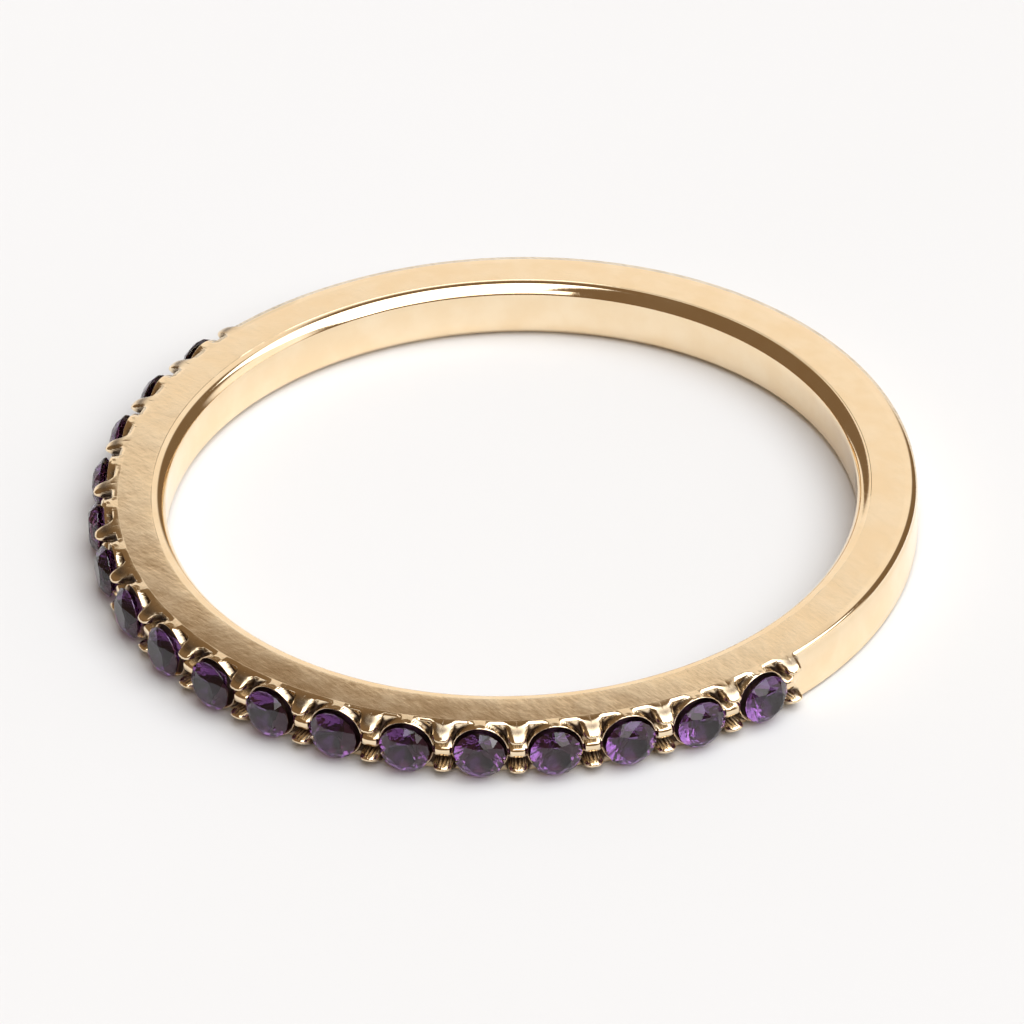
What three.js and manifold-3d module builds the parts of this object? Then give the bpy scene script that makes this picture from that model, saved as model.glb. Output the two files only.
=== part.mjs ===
// Stackable ring: a thin band lying on its side, its outer face set over half the round with one row
// of small round stones held proud of it by shared prongs.
// Millimetres, +Z up. The ring's axis is upright, the base face lies at z = 0 and the middle of the
// stone row points along -Y. The axis stands off the origin by half of what the row adds on its side.

import * as THREE from "three";
import { ConvexGeometry } from "three/addons/geometries/ConvexGeometry.js";
import { mergeVertices } from "three/addons/utils/BufferGeometryUtils.js";
import Module from "manifold-3d";

const wasm = await Module();
wasm.setup();

// Driving dimensions of the band. Its side faces end in a shallow roll at the bore and in a bevel at
// the rim.
const BORE_RADIUS = 8.65;
const OUTER_RADIUS = 10.15;
const BAND_HEIGHT = 1.5;
const MID_HEIGHT = BAND_HEIGHT / 2;
const RIM_RADIAL = 0.36;
const RIM_AXIAL = 0.25;
const RIM_STEPS = 3;
const BORE_ROLL_RADIAL = 0.38;
const BORE_ROLL_AXIAL = 0.2;
const BORE_ROLL_STEPS = 3;
const BAND_SEGMENTS = 120;

// The head is the thicker half of the hoop that the stones are set in.
const HEAD_RADIUS = 10.52;
const HEAD_EDGE_RADIUS = OUTER_RADIUS - RIM_RADIAL;
const HEAD_SHOULDER = 0.36;
const HEAD_END = 0.28;
const HEAD_STEPS = 4;

// Driving dimensions of the stones and their setting.
const STONE_COUNT = 17;
const STONE_PITCH = THREE.MathUtils.degToRad(10.5);
const STONE_RADIUS = 0.65;
const TABLE_RADIUS = 0.37;
const CROWN_HEIGHT = 0.22;
const GIRDLE_HEIGHT = 0.03;
const PAVILION_DEPTH = 0.55;
const STONE_REACH = 10.59;
const GIRDLE_TOP_RADIUS = STONE_REACH - CROWN_HEIGHT;
const AXIS_OFFSET = (STONE_REACH - OUTER_RADIUS) / 2;
const SEAT_CLEARANCE = 0.03;
const SEAT_SIDES = 20;
const CUTTER_OVERRUN = 0.5;

// The notch bares a stone's edge across both rims; a low collar stands round the stone in it; the
// saddle is the groove between two prongs.
const NOTCH_WIDTH = 1.4;
const NOTCH_FLOOR_RADIUS = OUTER_RADIUS - 0.2;
const COLLAR_RADIUS = 0.73;
const COLLAR_TOP_RADIUS = OUTER_RADIUS + 0.06;
const COLLAR_ROOT = 0.3;
const SADDLE_HALF_HEIGHT = 0.36;
const SADDLE_DEPTH = 0.3;
const SADDLE_LENGTH = 0.7;
const SADDLE_SIDES = 20;

const goldTone = new THREE.MeshStandardMaterial({ color: 0xe2c08c, roughness: 0.25, metalness: 1 });
const violetGlass = new THREE.MeshStandardMaterial({ color: 0x6b4a92, roughness: 0.05, metalness: 0 });

// Points of a quarter ellipse about a centre, between two angles in turns of 90 degrees.
function quarterArc(centreR, centreZ, radiusR, radiusZ, startQuarter, steps) {
  const points = [];
  for (let i = 0; i <= steps; i += 1) {
    const angle = (Math.PI / 2) * (startQuarter + i / steps);
    points.push(new THREE.Vector2(
      centreR + radiusR * Math.cos(angle),
      centreZ + radiusZ * Math.sin(angle),
    ));
  }
  return points;
}

// The band's section, walked counter-clockwise from the foot of its outer face and closed on itself.
function bandProfile() {
  const rimR = OUTER_RADIUS - RIM_RADIAL;
  const boreR = BORE_RADIUS + BORE_ROLL_RADIAL;
  const topRim = BAND_HEIGHT - RIM_AXIAL;
  const topRoll = BAND_HEIGHT - BORE_ROLL_AXIAL;
  const points = [
    ...quarterArc(rimR, topRim, RIM_RADIAL, RIM_AXIAL, 0, RIM_STEPS),
    ...quarterArc(boreR, topRoll, BORE_ROLL_RADIAL, BORE_ROLL_AXIAL, 1, BORE_ROLL_STEPS),
    ...quarterArc(boreR, BORE_ROLL_AXIAL, BORE_ROLL_RADIAL, BORE_ROLL_AXIAL, 2, BORE_ROLL_STEPS),
    ...quarterArc(rimR, RIM_AXIAL, RIM_RADIAL, RIM_AXIAL, 3, RIM_STEPS),
  ];
  points.push(points[0].clone());
  return points;
}

// The head's section, from inside the hoop out to the prongs' reach.
function headProfile() {
  const root = BORE_RADIUS + BORE_ROLL_RADIAL + (OUTER_RADIUS - BORE_RADIUS) / 3;
  const swell = HEAD_RADIUS - HEAD_EDGE_RADIUS;
  const topShoulder = BAND_HEIGHT - HEAD_SHOULDER;
  const points = [
    ...quarterArc(HEAD_EDGE_RADIUS, topShoulder, swell, HEAD_SHOULDER, 0, HEAD_STEPS),
    new THREE.Vector2(root, BAND_HEIGHT),
    new THREE.Vector2(root, 0),
    ...quarterArc(HEAD_EDGE_RADIUS, HEAD_SHOULDER, swell, HEAD_SHOULDER, 3, HEAD_STEPS),
  ];
  points.push(points[0].clone());
  return points;
}

// A lathe turns about Y; this stands its axis along +Z instead.
function lathedAboutZ(profile, segments) {
  return new THREE.LatheGeometry(profile, segments).rotateX(Math.PI / 2);
}

// Keeps position alone and shares the vertices, so that the surface is closed.
function weld(geometry) {
  const bare = geometry.clone();
  bare.deleteAttribute("normal");
  bare.deleteAttribute("uv");
  return mergeVertices(bare, 1e-5);
}

function toSolid(geometry) {
  const welded = weld(geometry);
  const mesh = new wasm.Mesh({
    numProp: 3,
    vertProperties: new Float32Array(welded.attributes.position.array),
    triVerts: new Uint32Array(welded.index.array),
  });
  return new wasm.Manifold(mesh);
}

function toGeometry(solid) {
  const mesh = solid.getMesh();
  const geometry = new THREE.BufferGeometry();
  geometry.setAttribute("position", new THREE.BufferAttribute(mesh.vertProperties, 3));
  geometry.setIndex(new THREE.BufferAttribute(mesh.triVerts, 1));
  geometry.computeVertexNormals();
  return geometry;
}

// Places a shape drawn about the origin on the rim. Its +Z points outward from the ring's axis, its
// +X runs along the rim and its +Y along the ring's axis, at a turn counted from -Y.
function placeOnRim(geometry, turn, radius) {
  const frame = new THREE.Matrix4().makeBasis(
    new THREE.Vector3(Math.cos(turn), Math.sin(turn), 0),
    new THREE.Vector3(0, 0, 1),
    new THREE.Vector3(Math.sin(turn), -Math.cos(turn), 0),
  );
  frame.setPosition(radius * Math.sin(turn), -radius * Math.cos(turn), MID_HEIGHT);
  return geometry.clone().applyMatrix4(frame);
}

// The half of the hoop on the stones' side, up to where the row runs out.
function makeHead() {
  const round = toSolid(lathedAboutZ(headProfile(), BAND_SEGMENTS));
  const reach = 2 * HEAD_RADIUS + CUTTER_OVERRUN;
  const half = new THREE.BoxGeometry(reach, reach, reach);
  return round.intersect(toSolid(half.translate(0, HEAD_END - reach / 2, 0)));
}

// A stone's pocket: a cone for the pavilion under a straight bore for the girdle.
function seatCutter() {
  const seatRadius = STONE_RADIUS + SEAT_CLEARANCE;
  const profile = [
    new THREE.Vector2(0, -GIRDLE_HEIGHT - PAVILION_DEPTH - 2 * SEAT_CLEARANCE),
    new THREE.Vector2(seatRadius, -GIRDLE_HEIGHT - SEAT_CLEARANCE),
    new THREE.Vector2(seatRadius, CUTTER_OVERRUN),
    new THREE.Vector2(0, CUTTER_OVERRUN),
  ];
  return lathedAboutZ(profile, SEAT_SIDES);
}

// A notch across both rims, as wide as a stone.
function notchCutter() {
  const depth = OUTER_RADIUS - NOTCH_FLOOR_RADIUS + CUTTER_OVERRUN;
  const box = new THREE.BoxGeometry(NOTCH_WIDTH, BAND_HEIGHT + CUTTER_OVERRUN, depth);
  return box.translate(0, 0, depth / 2);
}

// A plug round a stone's seat, which the seat turns into a collar.
function collarPlug() {
  const height = COLLAR_TOP_RADIUS - NOTCH_FLOOR_RADIUS + COLLAR_ROOT;
  const plug = new THREE.CylinderGeometry(COLLAR_RADIUS, COLLAR_RADIUS, height, SEAT_SIDES);
  return plug.rotateX(Math.PI / 2).translate(0, 0, height / 2 - COLLAR_ROOT);
}

// An oval bar laid along the rim, which hollows the metal between two prongs.
function saddleCutter() {
  const bar = new THREE.CylinderGeometry(1, 1, SADDLE_LENGTH, SADDLE_SIDES);
  bar.rotateZ(Math.PI / 2);
  return bar.scale(1, SADDLE_HALF_HEIGHT, SADDLE_DEPTH);
}

// The turn of a stone, or of the ridge after it when the index ends in a half.
function rowTurn(index) {
  return (index - (STONE_COUNT - 1) / 2) * STONE_PITCH;
}

function makeBand() {
  const hoop = toSolid(lathedAboutZ(bandProfile(), BAND_SEGMENTS));
  const seat = seatCutter();
  const notch = notchCutter();
  const collar = collarPlug();
  const saddle = saddleCutter();
  let band = hoop.add(makeHead());
  for (let i = 0; i < STONE_COUNT; i += 1) {
    band = band.subtract(toSolid(placeOnRim(notch, rowTurn(i), NOTCH_FLOOR_RADIUS)));
    band = band.add(toSolid(placeOnRim(collar, rowTurn(i), NOTCH_FLOOR_RADIUS)));
    band = band.subtract(toSolid(placeOnRim(seat, rowTurn(i), GIRDLE_TOP_RADIUS)));
  }
  for (let i = 0; i <= STONE_COUNT; i += 1) {
    band = band.subtract(toSolid(placeOnRim(saddle, rowTurn(i - 0.5), HEAD_RADIUS)));
  }
  const mesh = new THREE.Mesh(toGeometry(band).translate(0, AXIS_OFFSET, 0), goldTone);
  mesh.name = "band";
  return mesh;
}

// A level ring of a stone's corners.
function facetRing(count, radius, height, offset) {
  const points = [];
  for (let i = 0; i < count; i += 1) {
    const angle = ((i + offset) / count) * 2 * Math.PI;
    points.push(new THREE.Vector3(radius * Math.cos(angle), radius * Math.sin(angle), height));
  }
  return points;
}

// A round brilliant with its girdle's top at height 0, its table above and its culet below.
function stoneGeometry() {
  const starRadius = TABLE_RADIUS + 0.42 * (STONE_RADIUS - TABLE_RADIUS);
  const corners = [
    ...facetRing(8, TABLE_RADIUS, CROWN_HEIGHT, 0),
    ...facetRing(8, starRadius, CROWN_HEIGHT * 0.62, 0.5),
    ...facetRing(16, STONE_RADIUS, 0, 0),
    ...facetRing(16, STONE_RADIUS, -GIRDLE_HEIGHT, 0),
    new THREE.Vector3(0, 0, -GIRDLE_HEIGHT - PAVILION_DEPTH),
  ];
  return new ConvexGeometry(corners);
}

function makeStone(index) {
  const geometry = placeOnRim(stoneGeometry(), rowTurn(index), GIRDLE_TOP_RADIUS);
  const mesh = new THREE.Mesh(geometry.translate(0, AXIS_OFFSET, 0), violetGlass.clone());
  mesh.name = `stone_${String(index + 1).padStart(2, "0")}`;
  return mesh;
}

const ring = new THREE.Group();
ring.add(makeBand());
for (let i = 0; i < STONE_COUNT; i += 1) {
  ring.add(makeStone(i));
}

export default ring;
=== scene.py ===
import math
import random

import bmesh
import bpy
import numpy as np
from mathutils import Matrix, Vector


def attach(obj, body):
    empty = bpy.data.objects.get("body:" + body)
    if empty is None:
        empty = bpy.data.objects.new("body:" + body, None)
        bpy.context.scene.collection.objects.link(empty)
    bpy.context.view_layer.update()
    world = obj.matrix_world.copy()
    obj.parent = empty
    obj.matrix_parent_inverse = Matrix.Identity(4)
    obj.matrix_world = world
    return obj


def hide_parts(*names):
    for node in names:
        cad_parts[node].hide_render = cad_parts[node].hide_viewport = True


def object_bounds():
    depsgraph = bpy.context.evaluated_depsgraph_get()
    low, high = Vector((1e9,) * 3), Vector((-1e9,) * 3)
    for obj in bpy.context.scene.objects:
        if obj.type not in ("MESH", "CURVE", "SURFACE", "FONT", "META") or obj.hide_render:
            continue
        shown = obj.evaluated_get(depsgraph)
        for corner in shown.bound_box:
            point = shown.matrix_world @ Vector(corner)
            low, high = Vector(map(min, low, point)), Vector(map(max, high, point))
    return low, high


# A stackable ring on a pale floor. Metres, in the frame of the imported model: the ring lies on z = 0
# and the middle stone of its row faces -Y. Its axis stands off the origin towards +Y.

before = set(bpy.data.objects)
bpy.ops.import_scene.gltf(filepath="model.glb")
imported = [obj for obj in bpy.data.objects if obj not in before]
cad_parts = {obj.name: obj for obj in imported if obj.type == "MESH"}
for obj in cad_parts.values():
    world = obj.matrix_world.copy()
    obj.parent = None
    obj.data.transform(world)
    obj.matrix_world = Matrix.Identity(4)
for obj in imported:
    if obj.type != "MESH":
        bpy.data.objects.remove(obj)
CAD_LOW, CAD_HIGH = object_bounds()

MM = 0.001
STONE_NODES = sorted(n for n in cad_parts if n.startswith("stone_"))

# The hoop's section: side faces that fall a little towards the rim, a roll at the bore and a bevel
# at the rim. The powers say how round the roll and the bevel are.
BORE_RADIUS = 8.65 * MM
OUTER_RADIUS = 10.15 * MM
HALF_HEIGHT = (CAD_HIGH.z - CAD_LOW.z) / 2
MID_HEIGHT = CAD_LOW.z + HALF_HEIGHT
AXIS_Y = CAD_HIGH.y - OUTER_RADIUS
ROLL_RADIAL = 0.36 * MM
ROLL_AXIAL = 0.19 * MM
ROLL_POWER = 3.0
BORE_FILLET = 0.02 * MM
RIM_RADIAL = 0.31 * MM
RIM_AXIAL = 0.23 * MM
RIM_POWER = 1.9
SIDE_CROWN = 0.05 * MM
FLAT_INNER = BORE_RADIUS + ROLL_RADIAL
FLAT_OUTER = OUTER_RADIUS - RIM_RADIAL
RIM_HALF_HEIGHT = HALF_HEIGHT - SIDE_CROWN

# The stones.
STONE_RADIUS = 0.65 * MM
STONE_REACH = 10.59 * MM
TABLE_RADIUS = 0.37 * MM
CROWN_HEIGHT = 0.22 * MM
GIRDLE_HEIGHT = 0.03 * MM
PAVILION_DEPTH = 0.55 * MM

# The setting: wells for the stones, a collar round each, a bar between neighbours, and a prong above
# and below each bar. Levels are heights above the outer radius.
SEAT_RADIUS = 0.665 * MM
NOTCH_LEVEL = -0.16 * MM
COLLAR_LEVEL = 0.04 * MM
COLLAR_RADIUS = 0.686 * MM
COLLAR_HALF_WIDTH = 0.032 * MM
BAR_LEVEL = 0.16 * MM
BAR_HALF_HEIGHT = 0.21 * MM
BAR_HALF_WIDTH = 0.29 * MM
PRONG_LEVEL = 0.34 * MM
PRONG_FALL = 0.72 * MM
PRONG_SHOULDER = 0.40 * MM
PRONG_HALF_WIDTH = 0.26 * MM
PRONG_INNER = 0.34 * MM
PRONG_FLANK = 0.09 * MM
STUB_LENGTH = 0.34 * MM
STUB_HALF_HEIGHT = 0.27 * MM
EDGE_SOFTNESS = 0.01 * MM
BEVEL_SLOPE = 9
LIP_SLOPE = 60

# How much painted shade the setting's hollows get: an opening this enclosed starts to take painted
# shade, and this much more is full.
RECESS_START = 0.24
RECESS_SPAN = 0.36
RECESS_REACHES = (0.07 * MM, 0.11 * MM, 0.16 * MM)
RECESS_ANGLES = 24
RECESS_FADE = 0.10 * MM

# The turn of each stone about the ring's axis, counted from -Y.
PITCH = math.radians(10.5)
TURNS = [(i - (len(STONE_NODES) - 1) / 2) * PITCH for i in range(len(STONE_NODES))]
HALF_CELL = OUTER_RADIUS * PITCH / 2
ROW_END = TURNS[-1] + PITCH / 2


# ---------------------------------------------------------------- the band's surface


def soft_max(a, b, k=EDGE_SOFTNESS):
    h = np.clip(0.5 + 0.5 * (a - b) / k, 0, 1)
    return b + (a - b) * h + k * h * (1 - h)


def soft_min(a, b, k=EDGE_SOFTNESS):
    return -soft_max(-a, -b, k)


def dome(q, power):
    """A blunt mound over q: 1 in the middle, 0 from q = 1 on."""
    return np.clip(1 - q, 0, 1) ** (1 / power)


def rim_level(z):
    """The plain rim, bevelled towards both side faces."""
    t = np.clip((np.abs(z) - RIM_HALF_HEIGHT + RIM_AXIAL) / RIM_AXIAL, 0, 1)
    return -RIM_RADIAL * t**RIM_POWER


def edge_limit(z, slope):
    """Keeps the head inside the edge of the side faces, past which it falls off at this slope."""
    return -RIM_RADIAL + slope * (RIM_HALF_HEIGHT - np.abs(z))


def prong_level(off, z):
    """A prong: a tab that swells out of the rim and ends in a blunt tip above the bar."""
    a = np.abs(z)
    shoulder = np.clip((a - PRONG_SHOULDER) / (HALF_HEIGHT - PRONG_SHOULDER), 0, 1)
    crest = PRONG_LEVEL - PRONG_FALL * shoulder**2
    tip = np.clip((PRONG_INNER + PRONG_FLANK - a) / PRONG_FLANK, 0, None)
    along = np.abs(off) / PRONG_HALF_WIDTH
    return NOTCH_LEVEL + (crest - NOTCH_LEVEL) * dome(along**3 + tip**2, 2.6)


def bar_level(off, z):
    """The bar between two neighbouring stones, apart from the prongs above and below it."""
    along = np.abs(off) / BAR_HALF_WIDTH
    across = np.abs(z) / BAR_HALF_HEIGHT
    return NOTCH_LEVEL + (BAR_LEVEL - NOTCH_LEVEL) * dome(along**4 + across**3, 2.2)


def collar_level(rho):
    """The low collar that stands round a stone."""
    across = np.abs(rho - COLLAR_RADIUS) / COLLAR_HALF_WIDTH
    return NOTCH_LEVEL + (COLLAR_LEVEL - NOTCH_LEVEL) * dome(across**3, 2)


def set_level(u, z):
    """The set face. u runs along the rim from the nearest stone's middle, z up from mid-band."""
    off = HALF_CELL - np.abs(u)
    floor = np.minimum(NOTCH_LEVEL, rim_level(z))
    level = soft_max(floor, bar_level(off, z))
    level = soft_max(level, prong_level(off, z))
    level = soft_min(level, edge_limit(z, BEVEL_SLOPE))
    collar = np.minimum(collar_level(np.hypot(u, z)), edge_limit(z, LIP_SLOPE))
    return soft_max(level, collar)


def end_level(past, z):
    """Past the middle of the last prongs: they round off, and a pointed stub runs out between."""
    stub = np.clip(1 - past / STUB_LENGTH - (z / STUB_HALF_HEIGHT) ** 2, 0, 1)
    level = soft_max(rim_level(z), BAR_LEVEL * stub**0.7 - 0.02 * MM)
    level = soft_max(level, prong_level(past, z))
    return soft_min(level, edge_limit(z, BEVEL_SLOPE))


def row_level(turn, z):
    """The set or plain face at any turn about the axis."""
    turn = (turn + math.pi) % (2 * math.pi) - math.pi
    past = (np.abs(turn) - ROW_END) * OUTER_RADIUS
    u = ((turn + PITCH / 2) % PITCH - PITCH / 2) * OUTER_RADIUS
    level = set_level(u, z)
    level = np.where(np.hypot(u, z) < SEAT_RADIUS, COLLAR_LEVEL, level)
    return np.where(past > 0, end_level(np.maximum(past, 0), z), level)


def on_band(turn, radius, z):
    x, y, height = np.broadcast_arrays(
        radius * np.sin(turn), AXIS_Y - radius * np.cos(turn), MID_HEIGHT + z)
    return np.stack([x, y, height], axis=-1)


class Patches:
    """Grids of points gathered into one mesh. Shared borders are welded at the end."""

    def __init__(self):
        self.points, self.faces, self.count = [], [], 0

    def grid(self, points):
        rows, cols = points.shape[:2]
        index = self.count + np.arange(rows * cols).reshape(rows, cols)
        corners = (index[:-1, :-1], index[:-1, 1:], index[1:, 1:], index[1:, :-1])
        self.faces.append(np.stack(corners, axis=-1).reshape(-1, 4))
        self.points.append(points.reshape(-1, 3))
        self.count += rows * cols


# Stations of a cell's border, close together where the surface turns: heights up its sides, and
# places along its top. RING_SHARES go from the seat's mouth to the border. A well is rings of points:
# the share of the mouth's radius, and the level in mm.
SIDE_STATIONS = RIM_HALF_HEIGHT * np.array(
    [0, 0.12, 0.24, 0.36, 0.44, 0.50, 0.56, 0.62, 0.69, 0.76, 0.83, 0.89, 0.94, 0.98, 1])
TOP_STATIONS = HALF_CELL * np.linspace(0, 1, 15)
RING_SHARES = np.linspace(0, 1, 25)
WELL = ((0.985, 0.0), (0.97, -0.08), (0.5, -0.25), (0.03, -0.45))


def mirrored(stations):
    return np.concatenate([-stations[:0:-1], stations])


def cell_border():
    """The border of a cell, walked once round from the foot of its right side."""
    sides = mirrored(SIDE_STATIONS)
    tops = mirrored(TOP_STATIONS)
    right = np.stack([np.full(len(sides), HALF_CELL), sides], axis=-1)
    top = np.stack([tops[::-1], np.full(len(tops), RIM_HALF_HEIGHT)], axis=-1)
    return np.concatenate([right[:-1], top[:-1], -right[:-1], -top[:-1], right[:1]])


def add_cells(patches):
    """The set face: round each seat, a fan from the seat's mouth to the cell's border."""
    border = cell_border()
    mouth = SEAT_RADIUS * border / np.linalg.norm(border, axis=1, keepdims=True)
    share = RING_SHARES[:, None, None]
    plane = mouth * (1 - share) + border * share
    u, z = plane[..., 0], plane[..., 1]
    outer = OUTER_RADIUS + set_level(u, z)
    well_plane = np.stack([mouth] + [mouth * scale for scale, _ in WELL])
    well_outer = np.stack([outer[0]] + [np.full(len(border), OUTER_RADIUS + level * MM)
                                        for _, level in WELL])
    for turn in TURNS:
        patches.grid(on_band(turn + u / OUTER_RADIUS, outer, z))
        well_turn = turn + well_plane[..., 0] / OUTER_RADIUS
        patches.grid(on_band(well_turn, well_outer, well_plane[..., 1]))


def plain_turns():
    """Stations of the plain half, close together where the row runs out."""
    end = 2 * math.pi - ROW_END
    near = np.linspace(0, 0.42 * MM / OUTER_RADIUS, 17)
    middle = np.linspace(ROW_END + near[-1], end - near[-1], 110)
    return np.concatenate([ROW_END + near[:-1], middle, end - near[-2::-1]])


def add_plain_outer(patches):
    turns = plain_turns()
    z = mirrored(SIDE_STATIONS)
    past = np.minimum(turns - turns[0], turns[-1] - turns) * OUTER_RADIUS
    level = end_level(past[None, :], z[:, None])
    level[:, 0] = level[:, -1] = set_level(np.full(len(z), HALF_CELL), z)
    patches.grid(on_band(turns[None, :], OUTER_RADIUS + level, z[:, None]))


def side_and_bore():
    """Radius and height of the section from the top rim, over the side, down the bore and out."""
    share = np.array([1, 0.985, 0.9, 0.75, 0.6, 0.45, 0.3, 0.15, 0.04])
    flat_r = FLAT_INNER + share * (FLAT_OUTER - FLAT_INNER)
    flat_z = HALF_HEIGHT - SIDE_CROWN * share**1.2
    down = np.array([0, 0.04, 0.12, 0.3, 0.5, 0.7, 0.88, 1])
    roll_r = FLAT_INNER - down * (ROLL_RADIAL - BORE_FILLET)
    roll_z = HALF_HEIGHT - ROLL_AXIAL * down**ROLL_POWER
    wall_r = np.full(3, BORE_RADIUS)
    wall_z = HALF_HEIGHT - ROLL_AXIAL - np.array([1, 2, 12]) * BORE_FILLET
    wall_r[0] += BORE_FILLET * 0.3
    r = np.concatenate([flat_r, roll_r, wall_r])
    z = np.concatenate([flat_z, roll_z, wall_z])
    return np.concatenate([r, [BORE_RADIUS], r[::-1]]), np.concatenate([z, [0.0], -z[::-1]])


def add_side_and_bore(patches):
    tops = mirrored(TOP_STATIONS) / OUTER_RADIUS
    cells = [turn + tops[:-1] for turn in TURNS]
    turns = np.concatenate([*cells, plain_turns()])
    r, z = side_and_bore()
    patches.grid(on_band(turns[None, :], r[:, None], z[:, None]))


def recess_shade(turn, radius, z):
    """How enclosed each point of the outer face is, by what stands higher round it; this sets the
    painted shade there.
    """
    level = radius - OUTER_RADIUS
    total = np.zeros(len(level))
    angles = [i * 2 * math.pi / RECESS_ANGLES for i in range(RECESS_ANGLES)]
    steps = [(angle, reach) for angle in angles for reach in RECESS_REACHES]
    for angle, reach in steps:
        height = z + reach * math.sin(angle)
        there = row_level(turn + reach * math.cos(angle) / OUTER_RADIUS, height)
        there = np.where(np.abs(height) > RIM_HALF_HEIGHT, -RIM_RADIAL, there)
        total += np.clip((there - level) / reach, 0, 2.2)
    strip = np.clip((RIM_HALF_HEIGHT - np.abs(z)) / RECESS_FADE, 0, 1)
    return strip * np.clip((total / len(steps) - RECESS_START) / RECESS_SPAN, 0, 1)


def surface_marks(mesh):
    """Per point: satin 1 on the flat side faces, and up to 1 of painted shade in the setting's hollows.
    """
    points = np.empty(len(mesh.vertices) * 3)
    mesh.vertices.foreach_get("co", points)
    x, y, height = points.reshape(-1, 3).T
    y = y - AXIS_Y
    radius, turn, z = np.hypot(x, y), np.arctan2(x, -y), height - MID_HEIGHT
    near = 0.004 * MM
    on_side = (np.abs(z) > RIM_HALF_HEIGHT - near) & (radius > FLAT_INNER - near)
    on_outer = (radius > FLAT_OUTER - 0.6 * MM) & ~on_side & (np.abs(turn) < ROW_END + PITCH)
    marks = {"satin": on_side.astype(float), "recess_shade": np.zeros(len(radius))}
    marks["recess_shade"][on_outer] = recess_shade(turn[on_outer], radius[on_outer], z[on_outer])
    for name, values in marks.items():
        mesh.attributes.new(name, "FLOAT", "POINT").data.foreach_set("value", values)


def make_mesh(name, points, faces):
    mesh = bpy.data.meshes.new(name)
    mesh.from_pydata([tuple(p) for p in points], [], [tuple(int(i) for i in f) for f in faces])
    mesh.update()
    return mesh


def make_object(name, mesh):
    obj = bpy.data.objects.new(name, mesh)
    bpy.context.scene.collection.objects.link(obj)
    return obj


def close_wells(solid):
    """Each well ends in a small open ring; a fan closes it."""
    rims = [e for e in solid.edges if len(e.link_faces) == 1]
    bmesh.ops.holes_fill(solid, edges=rims, sides=0)


def build_band():
    patches = Patches()
    add_cells(patches)
    add_plain_outer(patches)
    add_side_and_bore(patches)
    mesh = make_mesh("band_surface", np.concatenate(patches.points), np.concatenate(patches.faces))
    solid = bmesh.new()
    solid.from_mesh(mesh)
    bmesh.ops.remove_doubles(solid, verts=solid.verts, dist=0.0005 * MM)
    close_wells(solid)
    bmesh.ops.recalc_face_normals(solid, faces=solid.faces)
    solid.to_mesh(mesh)
    solid.free()
    mesh.polygons.foreach_set("use_smooth", [True] * len(mesh.polygons))
    surface_marks(mesh)
    return make_object("band_finished", mesh)


# ---------------------------------------------------------------- the stones


def stone_mesh(name):
    """A round brilliant about the origin: +Z out of the table, the girdle's top at z = 0."""
    slope = CROWN_HEIGHT / (STONE_RADIUS - TABLE_RADIUS)
    cosine = math.cos(math.pi / 8)
    star_radius = 0.5 * (TABLE_RADIUS * cosine + STONE_RADIUS)
    star_height = (STONE_RADIUS - star_radius * cosine) * slope
    lower_radius = 0.22 * STONE_RADIUS
    lower_depth = PAVILION_DEPTH * (1 - lower_radius * cosine / STONE_RADIUS)

    def ring(count, radius, height, offset):
        angles = [(i + offset) * 2 * math.pi / count for i in range(count)]
        return [(radius * math.cos(a), radius * math.sin(a), height) for a in angles]

    points = [
        *ring(8, TABLE_RADIUS, CROWN_HEIGHT, 0),
        *ring(8, star_radius, star_height, 0.5),
        *ring(16, STONE_RADIUS, 0, 0),
        *ring(16, STONE_RADIUS, -GIRDLE_HEIGHT, 0),
        *ring(8, lower_radius, -GIRDLE_HEIGHT - lower_depth, 0.5),
        (0, 0, -GIRDLE_HEIGHT - PAVILION_DEPTH),
    ]
    table, star, upper, lower, deep, culet = 0, 8, 16, 32, 48, 56
    faces = [tuple(range(8))]
    for i in range(8):
        j = (i + 1) % 8
        k = (i - 1) % 8
        faces.append((table + i, star + i, table + j))
        faces.append((table + i, star + k, upper + 2 * i, star + i))
        faces.append((star + i, upper + 2 * i, upper + 2 * i + 1))
        faces.append((star + i, upper + 2 * i + 1, upper + 2 * j))
        faces.append((deep + i, lower + 2 * i + 1, lower + 2 * i))
        faces.append((deep + i, lower + 2 * j, lower + 2 * i + 1))
        faces.append((culet, deep + i, lower + 2 * i, deep + k))
    for i in range(16):
        j = (i + 1) % 16
        faces.append((upper + i, lower + i, lower + j, upper + j))
    return make_mesh(name, points, faces)


def build_stone(node, turn, spin):
    """A stone set in its seat, turned about its own axis."""
    mesh = stone_mesh(node + "_cut")
    axes = Matrix((
        (math.cos(turn), 0, math.sin(turn), 0),
        (math.sin(turn), 0, -math.cos(turn), 0),
        (0, 1, 0, 0),
        (0, 0, 0, 1),
    ))
    radius = STONE_REACH - CROWN_HEIGHT
    place = Vector((radius * math.sin(turn), AXIS_Y - radius * math.cos(turn), MID_HEIGHT))
    mesh.transform(Matrix.Translation(place) @ axes @ Matrix.Rotation(spin, 4, "Z"))
    return make_object(node + "_finished", mesh)


# ---------------------------------------------------------------- materials

GOLD_DEEP = (0.93, 0.735, 0.485, 1)
GOLD_LIGHT = (0.97, 0.80, 0.565, 1)
# Near-black painted shade for the setting's hollows.
RECESS_SHADE_COLOUR = (0.035, 0.014, 0.010, 1)
VIOLET = (0.72, 0.54, 0.75, 1)
VIOLET_CLOUD = (0.80, 0.62, 0.82, 1)
VIOLET_DEPTH = (0.47, 0.24, 0.56, 1)
VIOLET_DENSITY = 2000.0
STONE_IOR = 1.6
FLOOR_TONE = 0.78


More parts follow.
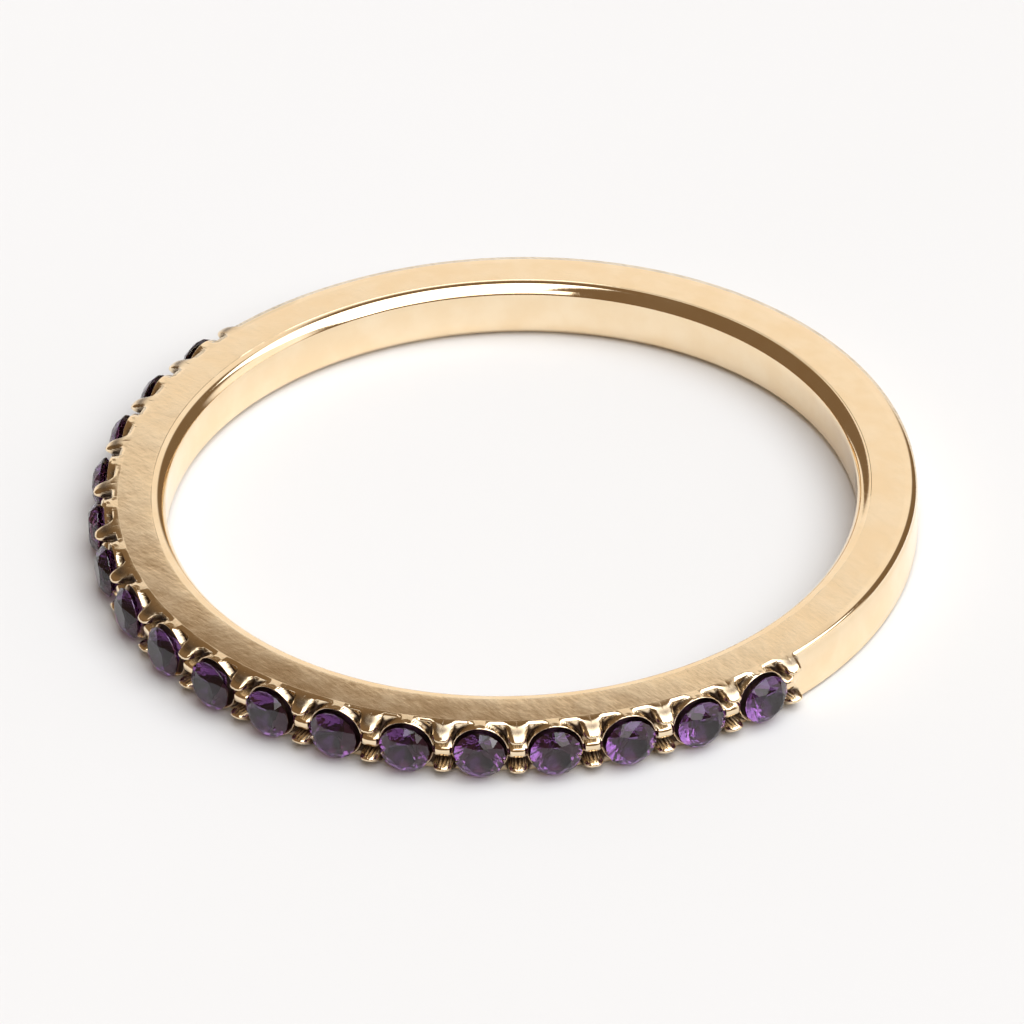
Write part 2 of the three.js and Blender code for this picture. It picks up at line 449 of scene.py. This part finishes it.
class Graph:
    """A short way to write shader nodes: numbers, tuples or other nodes' outputs as inputs."""

    def __init__(self, tree):
        self.tree = tree

    def node(self, kind, settings=None, **inputs):
        node = self.tree.nodes.new(kind)
        for name, value in (settings or {}).items():
            setattr(node, name, value)
        for name, value in inputs.items():
            self.feed(node.inputs[name.replace("_", " ")], value)
        return node

    def feed(self, socket, value):
        if isinstance(value, bpy.types.NodeSocket):
            self.tree.links.new(value, socket)
        else:
            socket.default_value = value

    def math(self, operation, *values, clamp=False):
        node = self.tree.nodes.new("ShaderNodeMath")
        node.operation = operation
        node.use_clamp = clamp
        for socket, value in zip(node.inputs, values):
            self.feed(socket, value)
        return node.outputs[0]

    def span(self, value, low, high, to_low=0.0, to_high=1.0):
        """Maps low..high smoothly to to_low..to_high, and holds the ends beyond."""
        limits = {"From Min": low, "From Max": high, "To Min": to_low, "To Max": to_high}
        node = self.node("ShaderNodeMapRange", {"interpolation_type": "SMOOTHSTEP"}, Value=value)
        for name, number in limits.items():
            node.inputs[name].default_value = number
        return node.outputs["Result"]

    def mark(self, name):
        return self.node("ShaderNodeAttribute", {"attribute_name": name}).outputs["Fac"]

    def sum(self, *values):
        total = values[0]
        for value in values[1:]:
            total = self.math("ADD", total, value)
        return total

    def noise(self, vector, scale, detail=2.0, roughness=0.5):
        node = self.node("ShaderNodeTexNoise", Vector=vector, Scale=scale, Detail=detail)
        self.feed(node.inputs["Roughness"], roughness)
        return node.outputs["Fac"]

    def stretched(self, vector, turn, scale):
        node = self.tree.nodes.new("ShaderNodeMapping")
        self.feed(node.inputs["Vector"], vector)
        node.inputs["Rotation"].default_value = turn
        node.inputs["Scale"].default_value = scale
        return node.outputs[0]

    def mix(self, share, a, b):
        node = self.tree.nodes.new("ShaderNodeMix")
        node.data_type = "RGBA"
        self.feed(node.inputs[0], share)
        self.feed(node.inputs[6], a)
        self.feed(node.inputs[7], b)
        return node.outputs[2]


def new_material(name):
    material = bpy.data.materials.new(name)
    material.use_nodes = True
    return material, material.node_tree.nodes["Principled BSDF"], Graph(material.node_tree)


def gold_roughness(g, satin, shade_mask, blotches, brushed):
    """Satin on the side faces, glossy elsewhere, and dull in the recesses."""
    side = g.sum(g.math("MULTIPLY", blotches, 0.14), g.math("MULTIPLY", brushed, 0.14))
    side = g.sum(side, 0.05)
    shine = g.span(brushed, 0.35, 0.75, 0.05, 0.13)
    rough = g.sum(shine, g.math("MULTIPLY", satin, g.math("SUBTRACT", side, shine)))
    return g.math("ADD", rough, g.math("MULTIPLY", shade_mask, 0.3), clamp=True)


def gold_colour(g, shade_mask, blotches):
    tone = g.mix(g.span(blotches, 0.3, 0.75), GOLD_DEEP, GOLD_LIGHT)
    # Painted shade: the gold darkens towards near black where the setting's hollows are enclosed.
    return g.mix(g.math("MULTIPLY", shade_mask, 0.96), tone, RECESS_SHADE_COLOUR)


def gold_relief(g, satin, blotches, brushed, waves, grain):
    """Heights of the strokes, dents, waves and grain."""
    stroke_height = g.sum(g.math("MULTIPLY", satin, 0.0011 * MM), 0.00025 * MM)
    dent_height = g.math("MULTIPLY", satin, 0.011 * MM)
    return g.sum(
        g.math("MULTIPLY", brushed, stroke_height),
        g.math("MULTIPLY", blotches, dent_height),
        g.math("MULTIPLY", waves, 0.010 * MM),
        g.math("MULTIPLY", grain, 0.0003 * MM),
    )


def gold_material():
    """Pale gold: polished, with satin side faces, fine scratches, and painted shade that darkens the
    recesses.
    """
    material, shader, g = new_material("gold_tone")
    place = g.node("ShaderNodeTexCoord").outputs["Object"]
    satin = g.mark("satin")
    shade_mask = g.mark("recess_shade")
    strokes = g.noise(g.stretched(place, (0, 0, 0.5), (2200, 14000, 2200)), 1.0, 3.0, 0.6)
    cross = g.noise(g.stretched(place, (0, 0, -0.7), (2000, 15000, 2000)), 1.0, 3.0, 0.6)
    brushed = g.sum(g.math("MULTIPLY", strokes, 0.6), g.math("MULTIPLY", cross, 0.4))
    blotches = g.noise(place, 1100.0, 3.0, 0.55)
    waves = g.noise(place, 450.0, 1.0, 0.4)
    grain = g.noise(place, 16000.0, 2.0, 0.6)
    relief = gold_relief(g, satin, blotches, brushed, waves, grain)
    bump = g.node("ShaderNodeBump", Height=relief, Strength=1.0, Distance=1.0)
    g.feed(shader.inputs["Roughness"], gold_roughness(g, satin, shade_mask, blotches, brushed))
    g.feed(shader.inputs["Base Color"], gold_colour(g, shade_mask, blotches))
    g.feed(shader.inputs["Normal"], bump.outputs[0])
    shader.inputs["Metallic"].default_value = 1.0
    return material


def stone_material():
    """Clear violet with faint clouds and a few hairline marks on the polish."""
    material, shader, g = new_material("violet_stone")
    place = g.node("ShaderNodeTexCoord").outputs["Object"]
    clouds = g.span(g.noise(place, 900.0, 2.0), 0.3, 0.7)
    hairs = g.noise(g.stretched(place, (0.4, 0.2, 0.9), (900, 26000, 900)), 1.0, 2.0)
    g.feed(shader.inputs["Base Color"], g.mix(clouds, VIOLET, VIOLET_CLOUD))
    g.feed(shader.inputs["Roughness"], g.span(hairs, 0.62, 0.8, 0.0, 0.05))
    shader.inputs["IOR"].default_value = STONE_IOR
    shader.inputs["Transmission Weight"].default_value = 1.0
    depth = g.node("ShaderNodeVolumeAbsorption", Color=VIOLET_DEPTH, Density=VIOLET_DENSITY)
    output = material.node_tree.nodes["Material Output"]
    g.feed(output.inputs["Volume"], depth.outputs[0])
    return material


def floor_material():
    """Matt white board with the faintest clouding."""
    material, shader, g = new_material("pale_floor")
    place = g.node("ShaderNodeTexCoord").outputs["Object"]
    shade = g.span(g.noise(place, 60.0, 2.0), 0.3, 0.7)
    plain = (FLOOR_TONE, FLOOR_TONE, FLOOR_TONE, 1)
    lighter = (FLOOR_TONE * 1.006, FLOOR_TONE * 1.006, FLOOR_TONE * 1.01, 1)
    g.feed(shader.inputs["Base Color"], g.mix(shade, plain, lighter))
    shader.inputs["Roughness"].default_value = 0.8
    shader.inputs["Specular IOR Level"].default_value = 0.0
    return material


# ---------------------------------------------------------------- stage, light and camera

GROUND_COLOUR = (0.20, 0.134, 0.078)
BACKDROP_COLOUR = (0.81, 0.80, 0.77)
BACKDROP_SLANT = 0.82
SOFTBOX_COLOUR = (2.75, 2.90, 3.05)
STRIP_COLOUR = (2.5, 2.45, 2.40)
LAMP_COLOUR = (1.0, 1.0, 1.0)

VIEW_AZIMUTH = math.radians(47.5)
VIEW_ELEVATION = math.radians(35.6)
VIEW_ROLL = math.radians(1.8)
VIEW_DISTANCE = 0.82
FRAME_SHARE = 0.793
SENSOR = 36.0


def view_axes():
    """Right, away and up in the room as the camera sees it."""
    right = Vector((math.cos(VIEW_AZIMUTH), math.sin(VIEW_AZIMUTH), 0))
    away = Vector((-math.sin(VIEW_AZIMUTH), math.cos(VIEW_AZIMUTH), 0))
    return right, away, Vector((0, 0, 1))


def add_camera():
    right, away, up = view_axes()
    back = -away * math.cos(VIEW_ELEVATION) + up * math.sin(VIEW_ELEVATION)
    camera = bpy.data.cameras.new("camera")
    camera.sensor_width = SENSOR
    camera.lens = SENSOR * VIEW_DISTANCE * FRAME_SHARE / (2 * OUTER_RADIUS)
    camera.clip_start = 0.01
    camera.clip_end = 10
    obj = make_object("camera", camera)
    place = Matrix.Translation(Vector((0, AXIS_Y, MID_HEIGHT)) + back * VIEW_DISTANCE)
    facing = back.to_track_quat("Z", "Y").to_matrix().to_4x4()
    obj.matrix_world = place @ facing @ Matrix.Rotation(-VIEW_ROLL, 4, "Z")
    bpy.context.scene.camera = obj


def add_floor():
    size = 3.0
    points = [(-size, -size, 0), (size, -size, 0), (size, size, 0), (-size, size, 0)]
    floor = make_object("floor", make_mesh("floor", points, [(0, 1, 2, 3)]))
    floor.data.materials.append(floor_material())


class Sky(Graph):
    """The studio as an environment: soft panels summed on a plain ground tone."""

    def __init__(self, ground):
        world = bpy.data.worlds.new("studio")
        bpy.context.scene.world = world
        world.use_nodes = True
        super().__init__(world.node_tree)
        self.tree.nodes.clear()
        self.direction = self.node("ShaderNodeTexCoord").outputs["Generated"]
        start = self.tree.nodes.new("ShaderNodeCombineXYZ")
        for socket, value in zip(start.inputs, ground):
            socket.default_value = value
        self.total = start.outputs[0]

    def dot(self, vector):
        node = self.node("ShaderNodeVectorMath", {"operation": "DOT_PRODUCT"})
        self.feed(node.inputs[0], self.direction)
        self.feed(node.inputs[1], vector)
        return node.outputs["Value"]

    def add(self, mask, colour):
        scaled = self.node("ShaderNodeVectorMath", {"operation": "SCALE"}, Scale=mask)
        scaled.inputs[0].default_value = colour
        summed = self.node("ShaderNodeVectorMath", {"operation": "ADD"})
        self.feed(summed.inputs[0], self.total)
        self.feed(summed.inputs[1], scaled.outputs[0])
        self.total = summed.outputs[0]

    def spot(self, centre, reach, softness, colour):
        """A round soft patch, out to an angle from its centre in degrees."""
        outer = math.cos(math.radians(reach + softness))
        inner = math.cos(math.radians(reach - softness))
        self.add(self.span(self.dot(centre.normalized()), outer, inner), colour)

    def panel(self, centre, right, half_width, half_height, softness, colour):
        """A soft-edged rectangle, its sizes as tangents of the angles it spans."""
        centre = centre.normalized()
        right = (right - centre * right.dot(centre)).normalized()
        facing = self.dot(centre)
        depth = self.math("MAXIMUM", facing, 0.02)
        mask = self.span(facing, 0.02, 0.06)
        for axis, half in ((right, half_width), (right.cross(centre), half_height)):
            off = self.math("ABSOLUTE", self.math("DIVIDE", self.dot(axis), depth))
            mask = self.math("MULTIPLY", mask, self.span(off, half + softness, half - softness))
        self.add(mask, colour)

    def finish(self):
        background = self.node("ShaderNodeBackground", Color=self.total)
        output = self.tree.nodes.new("ShaderNodeOutputWorld")
        self.tree.links.new(background.outputs[0], output.inputs[0])


def add_backdrop(sky, right, away, up):
    """White low down behind the ring, reaching higher on the right, and ending well to the right."""
    slant = sky.math("SUBTRACT", sky.dot(up), sky.math("MULTIPLY", sky.dot(right), BACKDROP_SLANT))
    height = sky.span(slant, 0.685, 0.635)
    behind = sky.span(sky.dot(away), 0.05, 0.6)
    beside = sky.span(sky.dot(right), 0.46, 0.30)
    sky.add(sky.math("MULTIPLY", height, sky.math("MULTIPLY", behind, beside)), BACKDROP_COLOUR)


def add_light():
    """A big softbox overhead to the right, a strip light over the camera, and a weak low lamp."""
    right, away, up = view_axes()
    softbox = right * 0.374 - away * 0.203 + up
    strip = right * 0.20 - away * 0.75 + up * 0.64
    lamp = right * 0.94 - away * 0.09 + up * 0.34
    sky = Sky(GROUND_COLOUR)
    add_backdrop(sky, right, away, up)
    sky.panel(strip, right, 0.55, 0.11, 0.03, STRIP_COLOUR)
    sky.panel(softbox, right, 0.60, 0.64, 0.04, SOFTBOX_COLOUR)
    sky.spot(lamp, 20, 5, LAMP_COLOUR)
    sky.finish()


def finish_piece(piece, node, material):
    piece.data.materials.append(material)
    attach(piece, "root")
    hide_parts(node)


def main():
    rng = random.Random(7)
    gold = gold_material()
    finish_piece(build_band(), "band", gold)
    violet = stone_material()
    for node, turn in zip(STONE_NODES, TURNS):
        spin = math.pi / 8 + rng.uniform(-0.07, 0.07)
        finish_piece(build_stone(node, turn, spin), node, violet)
    add_floor()
    add_light()
    add_camera()
    bpy.context.scene.view_settings.view_transform = "Standard"


main()
